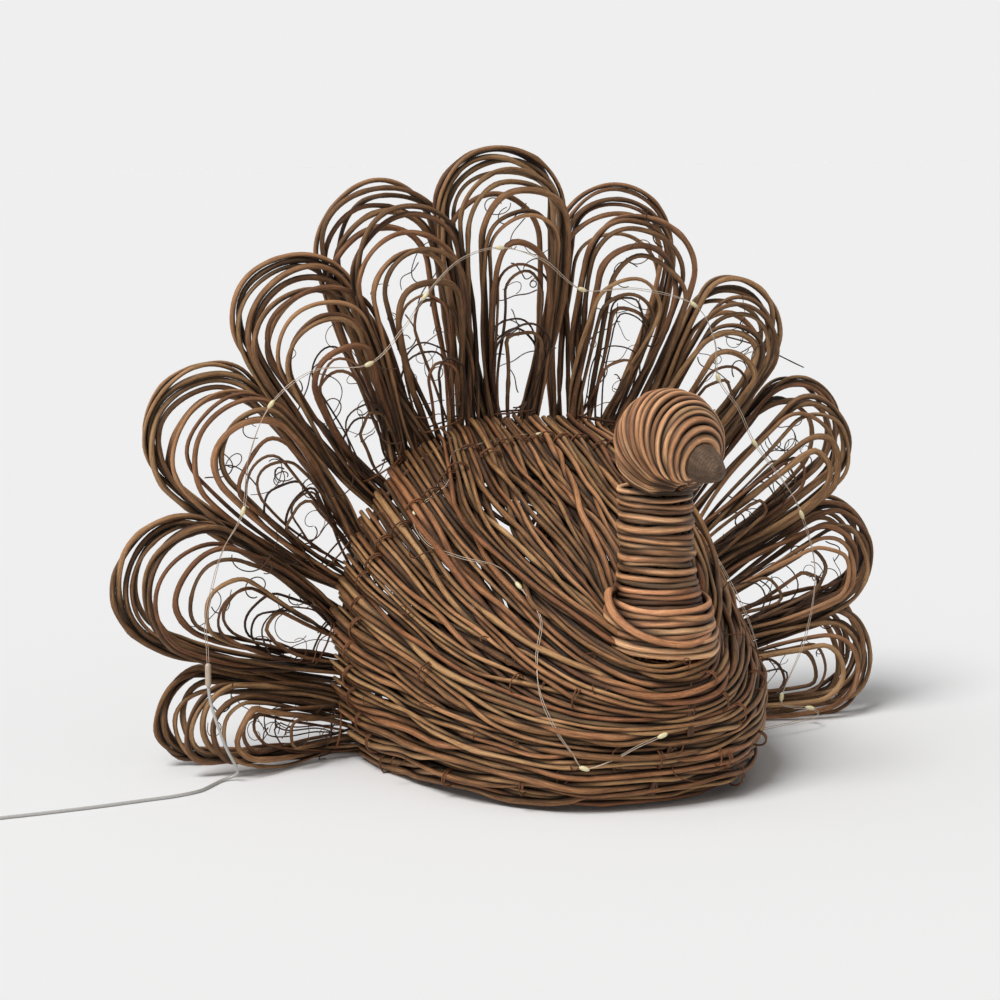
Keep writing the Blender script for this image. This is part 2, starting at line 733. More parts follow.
def add_noise(tree, vector, scale, detail, roughness):
    looks = {"Vector": vector, "Scale": scale, "Detail": detail, "Roughness": roughness}
    return add_node(tree, "TexNoise", looks, "Fac")


def add_grain(tree, along, across, detail, roughness):
    """Noise stretched along the rod, this many times to a metre along it and across it."""
    grain = add_node(tree, "Attribute", {}, "Vector", attribute_name="grain")
    vector = add_node(tree, "Mapping", {"Vector": grain, "Scale": (along, across, across)})
    return add_noise(tree, vector, 1, detail, roughness)


def add_math(tree, operation, *values):
    return add_node(tree, "Math", dict(enumerate(values)), operation=operation)


def add_sum(tree, total, *terms):
    """The total plus each socket times its weight."""
    for socket, weight in terms:
        total = add_math(tree, "MULTIPLY_ADD", socket, weight, total)
    return total


def add_ramp(tree, value, places, tints):
    node = tree.nodes.new("ShaderNodeValToRGB")
    while len(node.color_ramp.elements) < len(places):
        node.color_ramp.elements.new(0.5)
    for element, place, tint in zip(node.color_ramp.elements, places, tints):
        element.position = place
        element.color = tint
    set_inputs(tree, node, {"Fac": value})
    return node.outputs["Color"]


def add_tints(tree, value, tints):
    return add_ramp(tree, value, TINT_PLACES[len(tints)], [colour(*tint) for tint in tints])


def add_bump(tree, height, strength, depth):
    return add_node(tree, "Bump", {"Height": height, "Strength": strength, "Distance": depth}, "Normal")


def vine_material(name, tints, red_tints, roughness, bump):
    """Bark with its grain along the rod, darker where other rods lie near."""
    material, tree, shader = new_material(name)
    tint = add_node(tree, "Attribute", {}, "Color", attribute_name="tint")
    tone_share, red_share, open_share = [
        add_node(tree, "SeparateColor", {"Color": tint}, channel) for channel in ("Red", "Green", "Blue")
    ]
    patches, streaks, fine = [add_grain(tree, *grain) for grain in GRAINS]
    tone = add_sum(tree, -0.68, (tone_share, 0.44), (patches, 0.9), (streaks, 0.95), (fine, 0.5))
    red = add_node(tree, "Clamp", {"Value": add_sum(tree, -1.36, (red_share, 1.6), (patches, 1.28))})
    barks = {"Factor": red, "A": add_tints(tree, tone, tints), "B": add_tints(tree, tone, red_tints)}
    base = add_node(tree, "Mix", barks, "Result", data_type="RGBA")
    openness = add_sum(tree, 0.05, (open_share, 0.95))
    height = add_sum(tree, 0.0, (streaks, 0.8), (fine, 0.5))
    set_inputs(tree, shader, {
        "Base Color": add_node(tree, "VectorMath", {0: base, "Scale": openness}, operation="SCALE"),
        "Roughness": add_sum(tree, roughness, (streaks, 0.25)),
        "Specular IOR Level": 0.3,
        "Normal": add_bump(tree, height, bump, GRAIN_DEPTH),
    })
    return material


def plain_material(name, tint, roughness, metallic):
    """An even surface with faint specks."""
    material, tree, shader = new_material(name)
    place = add_node(tree, "TexCoord", {}, "Object")
    noise = add_noise(tree, place, SPECK_SCALE, 3, 0.55)
    middle = colour(*tint)[:3]
    ends = [(*(min(1, value * (1 + change)) for value in middle), 1) for change in (-SPECKLE, SPECKLE)]
    set_inputs(tree, shader, {
        "Base Color": add_ramp(tree, noise, (0.3, 0.7), ends),
        "Roughness": add_sum(tree, roughness - 0.1, (noise, 0.2)),
        "Metallic": metallic,
        "Normal": add_bump(tree, noise, 0.15, SPECK_DEPTH),
    })
    return material


vines = {name: vine_material(name, *look) for name, look in VINE_LOOKS.items()}
plain = {name: plain_material(name, *look) for name, look in PLAIN_LOOKS.items()}


# The lead from the splice along the floor, its coil and the run into the battery box
COIL_POINTS = 28  # to a loop


def coil_points():
    share = np.linspace(0, 1, int(COIL_LOOPS * COIL_POINTS))
    turns = COIL_LOOPS * share
    inward = (COIL_LOOPS - 0.5) / 2
    climb = ease((turns - inward) * 2)
    wound = np.where(turns < inward, turns, np.maximum(0, COIL_LOOPS - turns))
    radius = COIL_RADIUS - LEAD / 2 - COIL_STEP * np.minimum(wound, inward)
    angle = -QUARTER_TURN - FULL_TURN * turns
    x = COIL_X + radius * np.cos(angle)
    y = COIL_Y + radius * np.sin(angle)
    return np.stack([x, y, LEAD / 2 + COIL_LAYER * climb], axis=1)


def lead_path():
    coil = coil_points()
    x, y, z = coil[-1]
    wall = COIL_Y + BOX_STAND_OFF
    sleeve = wall - GAP - SLEEVE_LENGTH - LEAD
    into_box = [
        coil[-1],
        (x, mix(y, sleeve, 1 / 3), mix(z, LEAD_ENTRY, 1 / 4)),
        (x, mix(y, sleeve, 2 / 3), mix(z, LEAD_ENTRY, 3 / 4)),
        (x, sleeve, LEAD_ENTRY),
        (x, wall - LEAD, LEAD_ENTRY),
        (x, wall + LEAD_HOLE_DEPTH - GAP, LEAD_ENTRY),
    ]
    along_floor = smooth_line([*LEAD_ROUTE, coil[0] + (LEAD, 0, 0)], LEAD_STEP)
    return np.concatenate([along_floor, coil, smooth_line(into_box, ENTRY_STEP)[1:]])


def add_lead():
    points = lead_path() + SHIFT
    curve = bpy.data.curves.new("lead", "CURVE")
    curve.dimensions = "3D"
    curve.bevel_depth = LEAD / 2
    curve.bevel_resolution = 3
    curve.use_fill_caps = True
    spline = curve.splines.new("POLY")
    spline.points.add(len(points) - 1)
    for item, point in zip(spline.points, points):
        item.co = (*point, 1)
    spline.use_smooth = True
    curve.materials.append(plain["lead_skin"])
    lead = add_object("lead", curve)
    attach(lead, "figure")
    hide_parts("lead_cord", "lead_coil")
    box_nodes = ["battery_case", "battery_cover", "slide_switch", "contact_near", "contact_far"]
    box_nodes += ["battery_1", "battery_2", "battery_3", "strain_relief"]


add_lead()


# Body rods, tied in small bundles along the rear arch and spread over the breast
PAST_ARCH = (2 * MM, 8 * MM)  # the least and the most that a bundle's ends stand out past the arch
ARCH_ROD_STRAY = 0.8 * MM
ARCH_ROD_TURNS_DEG = (100, 135, 170)  # round the arch's wire, from its outer side to the front


def ranked(values):
    return np.argsort(np.argsort(values))


def is_under(place):
    """Whether the rods at these places in a bundle lie under the outer ones."""
    return place >= OUTER_RODS


def longer(points):
    """The line with a straight bit before its first point."""
    start = points[0] + unit(points[0] - points[2]) * rng.uniform(*PAST_ARCH)
    return np.concatenate(([start], points))


def body_rod(front, left, right, place, right_place):
    """From the arch's left over the breast to its right; the shares say how high up the skin it lies."""
    turns = np.radians(np.linspace(-90, 90, 150))
    past = np.abs(turns) / QUARTER_TURN
    start = rng.uniform(0, 0.2)
    share = mix(front, np.where(turns < 0, left, right), ease((past - start) / (0.93 - start)))
    share = share + wander(len(turns), 0.02, 3.4) * ease((0.9 - past) * 6)
    layer = rng.uniform(1.3, 2.1) if is_under(place) else rng.uniform(0, 0.7)
    depth = BODY_ROD * (0.5 + layer + 0.45 * wander(len(turns), 1, 3))
    depth = np.clip(depth, 0.2 * BODY_ROD, 2.7 * BODY_ROD)
    rise = np.where(turns < 0, BUNDLE_RISE[place], BUNDLE_RISE[right_place])
    depth = mix(depth, BODY_ROD * (-0.4 - rise), ease((past - 0.82) / 0.12))
    points = inside_skin(np.clip(share, 0.012, 0.92), turns, depth)
    points[:, 2] = np.maximum(points[:, 2], BODY_ROD / 2)
    points = even(points, ROD_STEP)
    points = points[1:] if is_under(place) else longer(points)
    points = points[:-1] if is_under(right_place) else longer(points[::-1])[::-1]
    rod = Rod(points, BODY_ROD * rng.uniform(0.72, 1.16), taper=0.3, rough=0.06)
    rod.place = front
    rod.hold(TIED_LENGTH / 2, TIED_LENGTH / 2)
    return rod


def body_rods():
    count = BUNDLE_COUNT * BUNDLE_RODS
    bundle, place = np.divmod(np.arange(count), BUNDLE_RODS)
    middles = (bundle + 0.5) / BUNDLE_COUNT * COURSE_SHARE
    left = middles + BUNDLE_SPREAD[place] * BODY_ROD / ARCH_LENGTH
    looseness = np.where(is_under(place), 0.2, 0.055)
    front = (ranked(middles + rng.normal(0, 1, count) * looseness) + 0.5) / count * (COURSE_SHARE + 0.02)
    right_bundle, right_place = np.divmod(ranked(front + rng.normal(0, 1, count) * looseness), BUNDLE_RODS)
    right = (right_bundle + 0.5) / BUNDLE_COUNT * COURSE_SHARE
    right = right + BUNDLE_SPREAD[right_place] * BODY_ROD / ARCH_LENGTH
    return [body_rod(*facts) for facts in zip(front, left, right, place, right_place)]


def lining_rods(count):
    """Rods deeper inside that cross the others and stop short of the rear arch."""
    rods = []
    for i in range(count):
        front = (i + rng.rand()) / count * COURSE_SHARE
        left, right = np.clip(front + rng.normal(0, 0.25, 2), 0.06, 0.8)
        turns = np.radians(np.linspace(-rng.uniform(72, 82), rng.uniform(72, 82), 110))
        past = np.abs(turns) / QUARTER_TURN
        share = mix(front, np.where(turns < 0, left, right), ease(past * 1.15))
        share = np.clip(share + wander(len(turns), 0.012, 3), 0.03, 0.85)
        depth = BODY_ROD * (rng.uniform(2.6, 3.8) + 0.4 * wander(len(turns), 1, 3))
        line = even(inside_skin(share, turns, depth), ROD_STEP)
        rod = Rod(line, BODY_ROD * rng.uniform(0.7, 1), taper=0.2)
        rod.place = front
        rods.append(rod)
    return rods


def over_ridge(across, along, lift):
    return even(ridge_point(across, along) + ridge_normal(across, along) * lift[:, None], ROD_STEP)


def ridge_rod(start, end, place):
    """From the rear arch's top over the back to the neck, in under its turns."""
    along = np.linspace(-0.05, 1.04, 72)
    across = mix(start, end, ease(along * 1.15 - 0.13))
    across = across + wander(len(along), 0.035, 1.7) * ease(along * 5 - 0.6)
    layer = rng.uniform(1.2, 1.9) if is_under(place) else rng.uniform(0, 0.7)
    lift = -RIDGE_ROD * (0.3 + layer + 0.35 * wander(len(along), 1, 2.5))
    lift = mix(lift, RIDGE_ROD * (0.4 + BUNDLE_RISE[place]), ease((0.3 - along) / 0.2))
    lift = lift - TUCK_IN * ease((along - 0.86) / 0.18)
    points = over_ridge(np.clip(across, -1.12, 1.12), along, lift)
    points = points[2 if is_under(place) else rng.randint(0, 2):]
    rod = Rod(points, RIDGE_ROD * rng.uniform(0.72, 1.16), taper=0.3, rough=0.06)
    rod.place = start
    rod.hold(TIED_LENGTH / 2, 0)
    return rod


def ridge_rods():
    count = RIDGE_BUNDLES * BUNDLE_RODS
    bundle, place = np.divmod(np.arange(count), BUNDLE_RODS)
    beside = BUNDLE_SPREAD[place] * RIDGE_ROD / ARCH_LENGTH / (1 - COURSE_SHARE)
    start = -1 + 2 * (bundle + 0.5) / RIDGE_BUNDLES + beside
    order = ranked(start + rng.normal(0, 1, count) * np.where(is_under(place), 0.6, 0.15))
    end = (-1 + 2 * (order + 0.5) / count) * 1.05
    return [ridge_rod(*facts) for facts in zip(start, end, place)]


def ridge_lining(count):
    """Rods under the ridge that run across the others."""
    rods = []
    along = np.linspace(0.06, 0.96, 60)
    for _ in range(count):
        start = rng.uniform(-1, 1)
        end = -start + rng.normal(0, 0.4)
        across = np.clip(mix(start, end, ease(along)) + wander(len(along), 0.06, 2), -1.1, 1.1)
        lift = -RIDGE_ROD * (rng.uniform(2.4, 3.4) + 0.5 * wander(len(along), 1, 2))
        rod = Rod(over_ridge(across, along, lift), RIDGE_ROD * 0.85)
        rod.place = start
        rods.append(rod)
    return rods


def arch_rods():
    """Rods that lie along the rear arch, tied to its wire between the bundles."""
    rods = []
    rise = np.linspace(0.01, 1, 90)
    share = np.concatenate([rise, rise[-2::-1]])
    sign = np.where(np.arange(len(share)) < len(rise), -1, 1)
    width, height = arch_at(share)
    outward = unit(np.stack([sign * width, 0 * width, height], axis=1))
    for turn in np.radians(ARCH_ROD_TURNS_DEG):
        away = ARCH_ROD_AWAY + wander(len(share), ARCH_ROD_STRAY, 6)
        line = np.stack([BODY_LEAN + sign * width, 0 * width - REAR_FACE, height], axis=1)
        line = line + outward * (away * math.cos(turn))[:, None]
        line[:, 1] -= away * math.sin(turn)
        thick = BODY_ROD * rng.uniform(0.6, 0.8)
        rods.append(Rod(even(line, ROD_STEP), thick, taper=0.1, tone=rng.uniform(0.4, 0.9)))
    return rods


# Petals: back loops behind, front loops leaning forward, all from one bound stem
LOOP_STRAY = (2.2 * MM, 1.6 * MM, 1.5 * MM)  # across, along and behind
LOOP_TOP_STRAY = (-3 * MM, 1 * MM)  # least and most, as in the pairs below
LOOP_FORWARD = 9 * MM  # a back loop's top lies this much nearer the front times its fall
LEAN_STRAY = 2 * MM
FOOT_RISE = (0, 10 * MM)
FOOT_BEHIND = (-1 * MM, 4 * MM)
FOOT_SHIFT = 5 * MM
SKEW = 3.4 * MM
OUTER_SKEW = 0.8 * MM  # of the two outermost loops


def petal_way(number):
    angle = math.radians(PETAL_ANGLES_DEG[number])
    out = np.array((math.sin(angle), 0, math.cos(angle)))
    side = np.array((math.cos(angle), 0, -math.sin(angle)))
    return out, side


def arch_reach(number):
    """How far from the hub the petal's middle line passes over the rear arch."""
    out, _ = petal_way(number)
    reach = np.linspace(0, BODY_HEIGHT + BODY_HALF_WIDTH, 2000)
    height = HUB_HEIGHT + out[2] * reach
    is_inside = (height < BODY_HEIGHT) & (np.abs(out[0] * reach - BODY_LEAN) < arch_half_width(height))
    return reach[is_inside].max()


def petal_size(number):
    """The petal's reach, its half width and where it passes over the rear arch."""
    reach = TAIL_REACH * PETAL_REACH_SHARES[number]
    return reach, PETAL_HALF_WIDTH * PETAL_WIDTH_SHARES[number], arch_reach(number)


def loop_line(number, reach, half_width, foot, spread, shift, behind_foot, behind_top, skew):
    """From one foot up a leg, round the top and down the other leg.

    Loops behind go to their layer within the stem, the others lean forward above the arch.
    """
    out, side = petal_way(number)
    leg = np.linspace(0, 1, 40)
    bend = np.linspace(0, QUARTER_TURN, 26)[1:]
    along = np.concatenate([mix(foot, reach, leg), reach + half_width * 0.95 * np.sin(bend)])
    leg_across = mix(spread, half_width, np.sin(leg * QUARTER_TURN) ** 1.15)
    across = np.concatenate([leg_across, half_width * np.cos(bend)])
    along = np.concatenate([along, along[-2::-1]])
    across = np.concatenate([-across, across[-2::-1]])
    rise = np.clip((along - foot) / (reach + half_width - foot), 0, 1)
    across = across + shift * (1 - rise) + skew * np.sin(rise * math.pi * 0.75)
    arch = arch_reach(number)
    settled = ease((along - foot) / STEM_DEPTH)
    leaning = ease((along - arch) / (reach + half_width - arch))
    behind = mix(behind_foot, behind_top, settled if behind_top > behind_foot else leaning)
    count = len(along)
    across = across + wander(count, LOOP_STRAY[0], 3) * np.minimum(1, rise * 3)
    along = along + wander(count, LOOP_STRAY[1], 3) * rise
    line = out * along[:, None] + side * across[:, None]
    line[:, 1] = behind + wander(count, LOOP_STRAY[2], 2.5)
    line[:, 2] += HUB_HEIGHT
    return line


def petal_rods(number):
    size = PETAL_REACH_SHARES[number]
    reach, outer, arch = petal_size(number)
    widest = outer - PETAL_ROD / 2
    behind_foot = PETAL_FRONT + PETAL_ROD
    behind = behind_foot + PETAL_LAYER * (1 if number % 2 else 2)
    rods = []
    for k, (fall, width, lean) in enumerate(LOOP_SHARES):
        is_dark = k >= len(LOOP_SHARES) - DARK_LOOPS
        half_width = min(widest * width * rng.uniform(0.93, 1.06), widest)
        top = behind - LOOP_FORWARD * fall + rng.uniform(*LOOP_TOP_STRAY)
        if lean:
            top = behind_foot - PETAL_LEAN * lean + rng.normal(0, LEAN_STRAY)
        fallen = LOOP_FALL * size * (fall + rng.uniform(-0.014, 0.022) * min(k, 3) / 3)
        line = loop_line(
            number,
            reach - fallen + (widest - half_width) / 2,
            half_width,
            arch - STEM_DEPTH + rng.uniform(*FOOT_RISE),
            mix(STEM_SPREAD, 0.2 * STEM_SPREAD, k / len(LOOP_SHARES)),
            rng.normal(0, FOOT_SHIFT),
            behind_foot + rng.uniform(*FOOT_BEHIND),
            top,
            rng.normal(0, SKEW if k > 1 else OUTER_SKEW),
        )
        thick = PETAL_ROD * (rng.uniform(0.45, 0.7) if is_dark else rng.uniform(0.66, 1.12))
        tone = rng.uniform(0, 0.2) if is_dark else rng.uniform(0, 0.95)
        rod = Rod(even(line, PETAL_STEP), thick, tone=tone)
        share = np.linspace(0, 1, len(rod.points))
        rod.radii = rod.radii * mix(0.72, 1, ease(np.minimum(share, 1 - share) * 3.2))
        rod.hold(STEM_DEPTH / 2, STEM_DEPTH / 2)
        rods.append(rod)
    return rods


# Thin vines: curling tendrils and ties
THIN_LOOPS = 3  # to a petal
PETAL_CURLS = 16
TENDRIL_SHIFT = 6 * MM
TENDRIL_BEHIND = (-14 * MM, 6 * MM)  # least and most, as in the pairs below
TENDRIL_SKEW = 4 * MM
CURLS_FROM = 12 * MM  # the lowest curls of a petal start this far past the rear arch
CURL_BEHIND = (-14 * MM, 8 * MM)
PETAL_CURL = (12 * MM, 42 * MM)
BODY_CURL = (8 * MM, 22 * MM)
CURL_CLEAR = 2 * MM  # above the floor
STEM_TIES = (-20 * MM, 8 * MM)  # where they sit, from the rear arch outward
STEM_TIE_BEHIND = 2 * MM
STEM_TIE_AROUND = 3 * MM
STEM_TIE_HIGH = 8.5 * MM
EDGE_TIE_DEG = (81.5, 85.5)  # round the skin
BREAST_TIE_DEG = (-70, 70)
EDGE_TIE_WIDE = (5.8 * MM, 6.8 * MM)
BREAST_TIE_WIDE = (4 * MM, 6 * MM)
RIDGE_TIE_WIDE = 6.2 * MM


def curl(start, way, length, turns):
    """A thin vine that leaves start and curls tighter as it goes."""
    count = 48
    share = np.linspace(0, 1, count)
    way = unit(np.asarray(way, float))
    side = unit(np.cross(way, (0.13, 0.97, 0.2)))
    up = np.cross(way, side)
    sign = -1 if rng.rand() < 0.5 else 1
    bend = sign * FULL_TURN * turns * share**1.3 + wander(count, 0.8, 1)
    steps = ellipse(bend, way, 1, side, 1) + up * wander(count, 0.35, 1.2)[:, None]
    return np.asarray(start) + np.cumsum(steps, axis=0) * length / count


def curl_rod(line, thin, thick):
    thickness = TENDRIL * rng.uniform(thin, thick)
    return Rod(even(line, CURL_STEP), thickness, tone=0.5 * rng.rand(), rough=0.02)


def tie_loop(middle, across, normal, wide, high):
    """A short vine wound once round a bundle, its ends crossing."""
    angle = np.linspace(-0.15, 1.2, 26) * FULL_TURN
    shift = np.cross(across, normal) * (np.linspace(-1, 1, len(angle)) * TIE_VINE)[:, None]
    return middle + ellipse(angle, across, wide, normal, high) + shift


def petal_tendrils(number):
    out, side = petal_way(number)
    reach, outer, foot = petal_size(number)
    rods = []
    for _ in range(THIN_LOOPS):
        line = loop_line(
            number,
            mix(foot, reach, rng.uniform(0.3, 0.7)),
            outer * rng.uniform(0.22, 0.42),
            foot - 0.3 * STEM_DEPTH,
            0.5 * STEM_SPREAD,
            rng.normal(0, TENDRIL_SHIFT),
            PETAL_FRONT + PETAL_ROD,
            rng.uniform(*TENDRIL_BEHIND),
            rng.normal(0, TENDRIL_SKEW),
        )
        rods.append(Rod(even(line, THIN_LOOP_STEP), TENDRIL * rng.uniform(1.2, 2.2), tone=0.3 * rng.rand()))
    for _ in range(PETAL_CURLS):
        along = mix(foot + CURLS_FROM, reach + 0.1 * outer, rng.rand() ** 0.9)
        room = mix(0.35, 0.85, np.clip((along - foot) / (reach - foot), 0, 1))
        across = outer * room * rng.uniform(-0.9, 0.9)
        start = out * along + side * across
        start[1] = rng.uniform(*CURL_BEHIND)
        start[2] += HUB_HEIGHT
        way = -side * np.sign(across) * rng.uniform(0.4, 1) + out * rng.normal(-0.2, 0.5)
        way[1] = rng.normal(0, 0.25)
        line = curl(start, way, rng.uniform(*PETAL_CURL), 1.3 * rng.rand() ** 1.6)
        line[:, 2] = np.maximum(line[:, 2], CURL_CLEAR)
        rods.append(curl_rod(line, 0.6, 1.2))
    return rods


def stem_ties():
    """Two ties round each petal's stem, one at its foot and one above the rear arch."""
    rods = []
    backward = np.array((0, 1.0, 0))
    for number in range(len(PETAL_ANGLES_DEG)):
        out, side = petal_way(number)
        for away in STEM_TIES:
            middle = out * (arch_reach(number) + away)
            middle[1] = PETAL_FRONT + PETAL_ROD + STEM_TIE_BEHIND
            middle[2] += HUB_HEIGHT
            line = tie_loop(middle, side, backward, STEM_SPREAD + STEM_TIE_AROUND, STEM_TIE_HIGH)
            rods.append(Rod(even(line, STEM_TIE_STEP), TIE_VINE * rng.uniform(0.9, 1.3)))
    return rods


def skin_ahead(share, turn):
    return unit(skin_point(share, turn + 0.02) - skin_point(share, turn - 0.02))


def tie_rod(middle, ahead, normal, wide, high):
    line = tie_loop(middle, np.cross(normal, ahead), normal, wide, high)
    return Rod(even(line, TIE_STEP), TIE_VINE * rng.uniform(0.8, 1.25))


def body_ties(count):
    """A tie round each bundle near the rear arch, and some over the breast."""
    rods = []
    for i in range(count):
        is_edge = i < 2 * BUNDLE_COUNT
        share = (i // 2 + 0.5) / BUNDLE_COUNT * COURSE_SHARE + rng.normal(0, 0.003)
        turn = math.radians(rng.uniform(*EDGE_TIE_DEG)) * (-1 if i % 2 else 1)
        if not is_edge:
            share = rng.uniform(0.05, 0.75)
            turn = math.radians(rng.uniform(*BREAST_TIE_DEG))
        middle = inside_skin(share, turn, -BODY_ROD * (0.35 if is_edge else 0.1))
        wide = rng.uniform(*(EDGE_TIE_WIDE if is_edge else BREAST_TIE_WIDE))
        high = BODY_ROD * rng.uniform(1.3, 1.45)
        rods.append(tie_rod(middle, skin_ahead(share, turn), skin_normal(share, turn), wide, high))
    for k in range(RIDGE_BUNDLES):
        across = -1 + 2 * (k + 0.5) / RIDGE_BUNDLES
        along = rng.uniform(0.12, 0.2)
        normal = ridge_normal(across, along)
        ahead = unit(ridge_point(across, along + 0.02) - ridge_point(across, along - 0.02))
        middle = ridge_point(across, along) + normal * RIDGE_ROD * 0.3
        rods.append(tie_rod(middle, ahead, normal, RIDGE_TIE_WIDE, RIDGE_ROD * 1.3))
    return rods


def body_tendrils(count):
    rods = []
    for _ in range(count):
        share = rng.uniform(0.08, 0.85)
        turn = math.radians(rng.uniform(-85, 85))
        start = inside_skin(share, turn, -BODY_ROD * 0.2)
        ahead = skin_ahead(share, turn)
        normal = skin_normal(share, turn)
        way = ahead * rng.normal(0, 0.5) + np.cross(normal, ahead) * rng.normal(0, 1) + normal * 0.08
        line = curl(start, way, rng.uniform(*BODY_CURL), rng.uniform(0.2, 1.1))
        rods.append(curl_rod(line, 0.7, 1.1))
    return rods


# Neck and head
COLLAR_RODS = 8
NECK_LOOPS = 24
HIDDEN_LOOPS = 3  # more turns, up into the head
NECK_PROFILE_SHARES = [0, 0.1, 0.25, 0.38, 0.55, 0.8, 1]  # of the neck's height
NECK_PROFILE_RADII = [
    NECK_FOOT_RADIUS,
    NECK_FOOT_RADIUS,
    (NECK_FOOT_RADIUS + NECK_SLOPE_RADIUS) / 2,
    NECK_SLOPE_RADIUS,
    NECK_WAIST_RADIUS,
    NECK_WAIST_RADIUS,
    NECK_COLLAR_RADIUS,
]
TURN_POINTS = 84
TURN_DRIFT = 0.9 * MM  # up and down
TURN_STRAY = 0.6 * MM  # in and out
TURN_OUT = (-0.6 * MM, 0.4 * MM)
TURN_TILT = (0, 1.3 * MM)
COLLAR_OUT = (2.2 * MM, -1 * MM)  # of the lowest and the highest collar rod, as in the next pair
COLLAR_RISE = (-2 * MM, 20 * MM)
COLLAR_STRAY = (0.8 * MM, 1.2 * MM)  # in and out, up and down
COLLAR_TUCK = 6 * MM
COLLAR_BACK_RISE = 10 * MM
# The hooked end: where it is round the neck, how far out from the foot's radius and how high
HOOK_DEG = [120, 145, 175, 205, 230, 250, 262, 272, 280]
HOOK_OUT = np.array([-4, 1, 2.5, 3, 4, 4.5, 4, 1, -4]) * MM
HOOK_RISE = np.array([13, 7, 4, 6, 11, 18, 25, 29, 29]) * MM
HEAD_RINGS = 24
HEAD_MIDDLE = np.array((HEAD_X, HEAD_Y, HEAD_Z))
HEAD_SUNK = (0, 0.8 * MM)
# The turns' nearest and farthest points, seen from the side, in degrees above the level
HEAD_NEAR_DEG = [-43, -50, -54, -58, -66, -74]
HEAD_FAR_DEG = [11, 54, 97, 140, 183, 226]
CHIN_TURN = math.radians(4)
CORE_RODS = 40
CORE_STRAY = 0.6 * MM
CORE_TURN = 2.4  # from one rod to the next, which spreads them evenly
HEAD_CORE_RODS = 14


def neck_rod(k):
    angle = np.linspace(-0.03, 1.08, TURN_POINTS) * FULL_TURN + rng.normal(0, 0.4)
    share = (k - 0.6) / NECK_LOOPS + np.linspace(-0.5, 0.5, TURN_POINTS) / NECK_LOOPS
    share = share + wander(TURN_POINTS, TURN_DRIFT, 2.6) / (NECK_TOP - NECK_BOTTOM)
    radius = np.interp(share, NECK_PROFILE_SHARES, NECK_PROFILE_RADII) - NECK_ROD / 2
    radius = radius + wander(TURN_POINTS, TURN_STRAY, 3) + rng.uniform(*TURN_OUT)
    out = np.stack([np.sin(angle), np.cos(angle), 0 * angle], axis=1)
    line = neck_middle(share) + out * radius[:, None]
    line[:, 2] += np.sin(angle + rng.rand() * FULL_TURN) * rng.uniform(*TURN_TILT)
    return Rod(line, NECK_ROD * rng.uniform(0.85, 1.2), taper=0.25, rough=0.05)


def collar_rod(k):
    """Wide turns round the foot, lower at the front than behind."""
    angle = np.linspace(-0.42, 0.42, 70) * FULL_TURN + math.radians(180 + rng.normal(0, 6))
    share = k / (COLLAR_RODS - 1)
    front = (1 - np.cos(angle)) / 2
    radius = NECK_FOOT_RADIUS + mix(*COLLAR_OUT, share) + wander(len(angle), COLLAR_STRAY[0], 2)
    radius = radius - COLLAR_TUCK * ease(1 - front * 2.4)
    x = NECK_X + radius * np.sin(angle)
    y = NECK_Y + radius * np.cos(angle)
    z = NECK_BOTTOM + mix(*COLLAR_RISE, share) + COLLAR_BACK_RISE * (1 - front) ** 1.5
    z = z + wander(len(angle), COLLAR_STRAY[1], 2)
    return Rod(np.stack([x, y, z], axis=1), NECK_ROD * rng.uniform(0.9, 1.1), taper=0.2)


def hook_rod():
    """The end of one turn bends up and hooks over at the foot's left."""
    angle = np.radians(HOOK_DEG)
    radius = NECK_FOOT_RADIUS + HOOK_OUT
    knots = [NECK_X + radius * np.sin(angle), NECK_Y + radius * np.cos(angle), NECK_BOTTOM + HOOK_RISE]
    return Rod(smooth_line(np.stack(knots, axis=1), HOOK_STEP), NECK_ROD, taper=0, tone=0)


def neck_rods():
    """Nearly level turns, each a rod of its own, one lying on the other."""
    turns = [neck_rod(k) for k in range(NECK_LOOPS + HIDDEN_LOOPS)]
    return [*turns, *(collar_rod(k) for k in range(COLLAR_RODS)), hook_rod()]


def level_way(turn):
    """The level direction this far round to the bird's left from straight ahead."""
    return np.array((math.sin(turn), -math.cos(turn), 0))


def head_rod(share):
    """One turn of the head: the turns run round the beak and draw together at the chin."""
    above = np.array((0, 0, 1.0))
    shares = np.linspace(0, 1, len(HEAD_NEAR_DEG))
    path_radius = HEAD_RADIUS - HEAD_ROD / 2
    near = math.radians(np.interp(share, shares, HEAD_NEAR_DEG) + rng.normal(0, 1))
    far = math.radians(np.interp(share, shares, HEAD_FAR_DEG) + rng.normal(0, 1.6))
    chin_way = level_way(mix(BEAK_TURN, CHIN_TURN, ease(share * 3)))
    chin = (chin_way * math.cos(near) + above * math.sin(near)) * path_radius
    top = (level_way(BEAK_TURN) * math.cos(far) + above * math.sin(far)) * path_radius
    normal = unit(np.cross(chin - top, level_way(BEAK_TURN + QUARTER_TURN)))
    off = float(chin @ normal)
    radius = math.sqrt(path_radius**2 - off**2)
    toward = unit(chin - normal * off)
    across = np.cross(normal, toward)
    angle = np.linspace(0.02, 0.98, TURN_POINTS) * FULL_TURN
    away = (1 - np.cos(angle)) / 2
    wide = radius * (1 + 0.014 * wander(TURN_POINTS, 1, 2.5)) - rng.uniform(*HEAD_SUNK)
    line = normal * off + ellipse(angle, toward, wide, across, wide)
    line = line * mix(0.9, 1, ease(away * 6))[:, None] + HEAD_MIDDLE
    rod = Rod(line, HEAD_ROD * rng.uniform(0.8, 1.12), taper=0.2, rough=0.05)
    rod.radii = rod.radii * mix(0.6, 1, ease(away * 2))
    return rod


def head_rods():
    return [head_rod(k / (HEAD_RINGS - 1)) for k in range(HEAD_RINGS)]


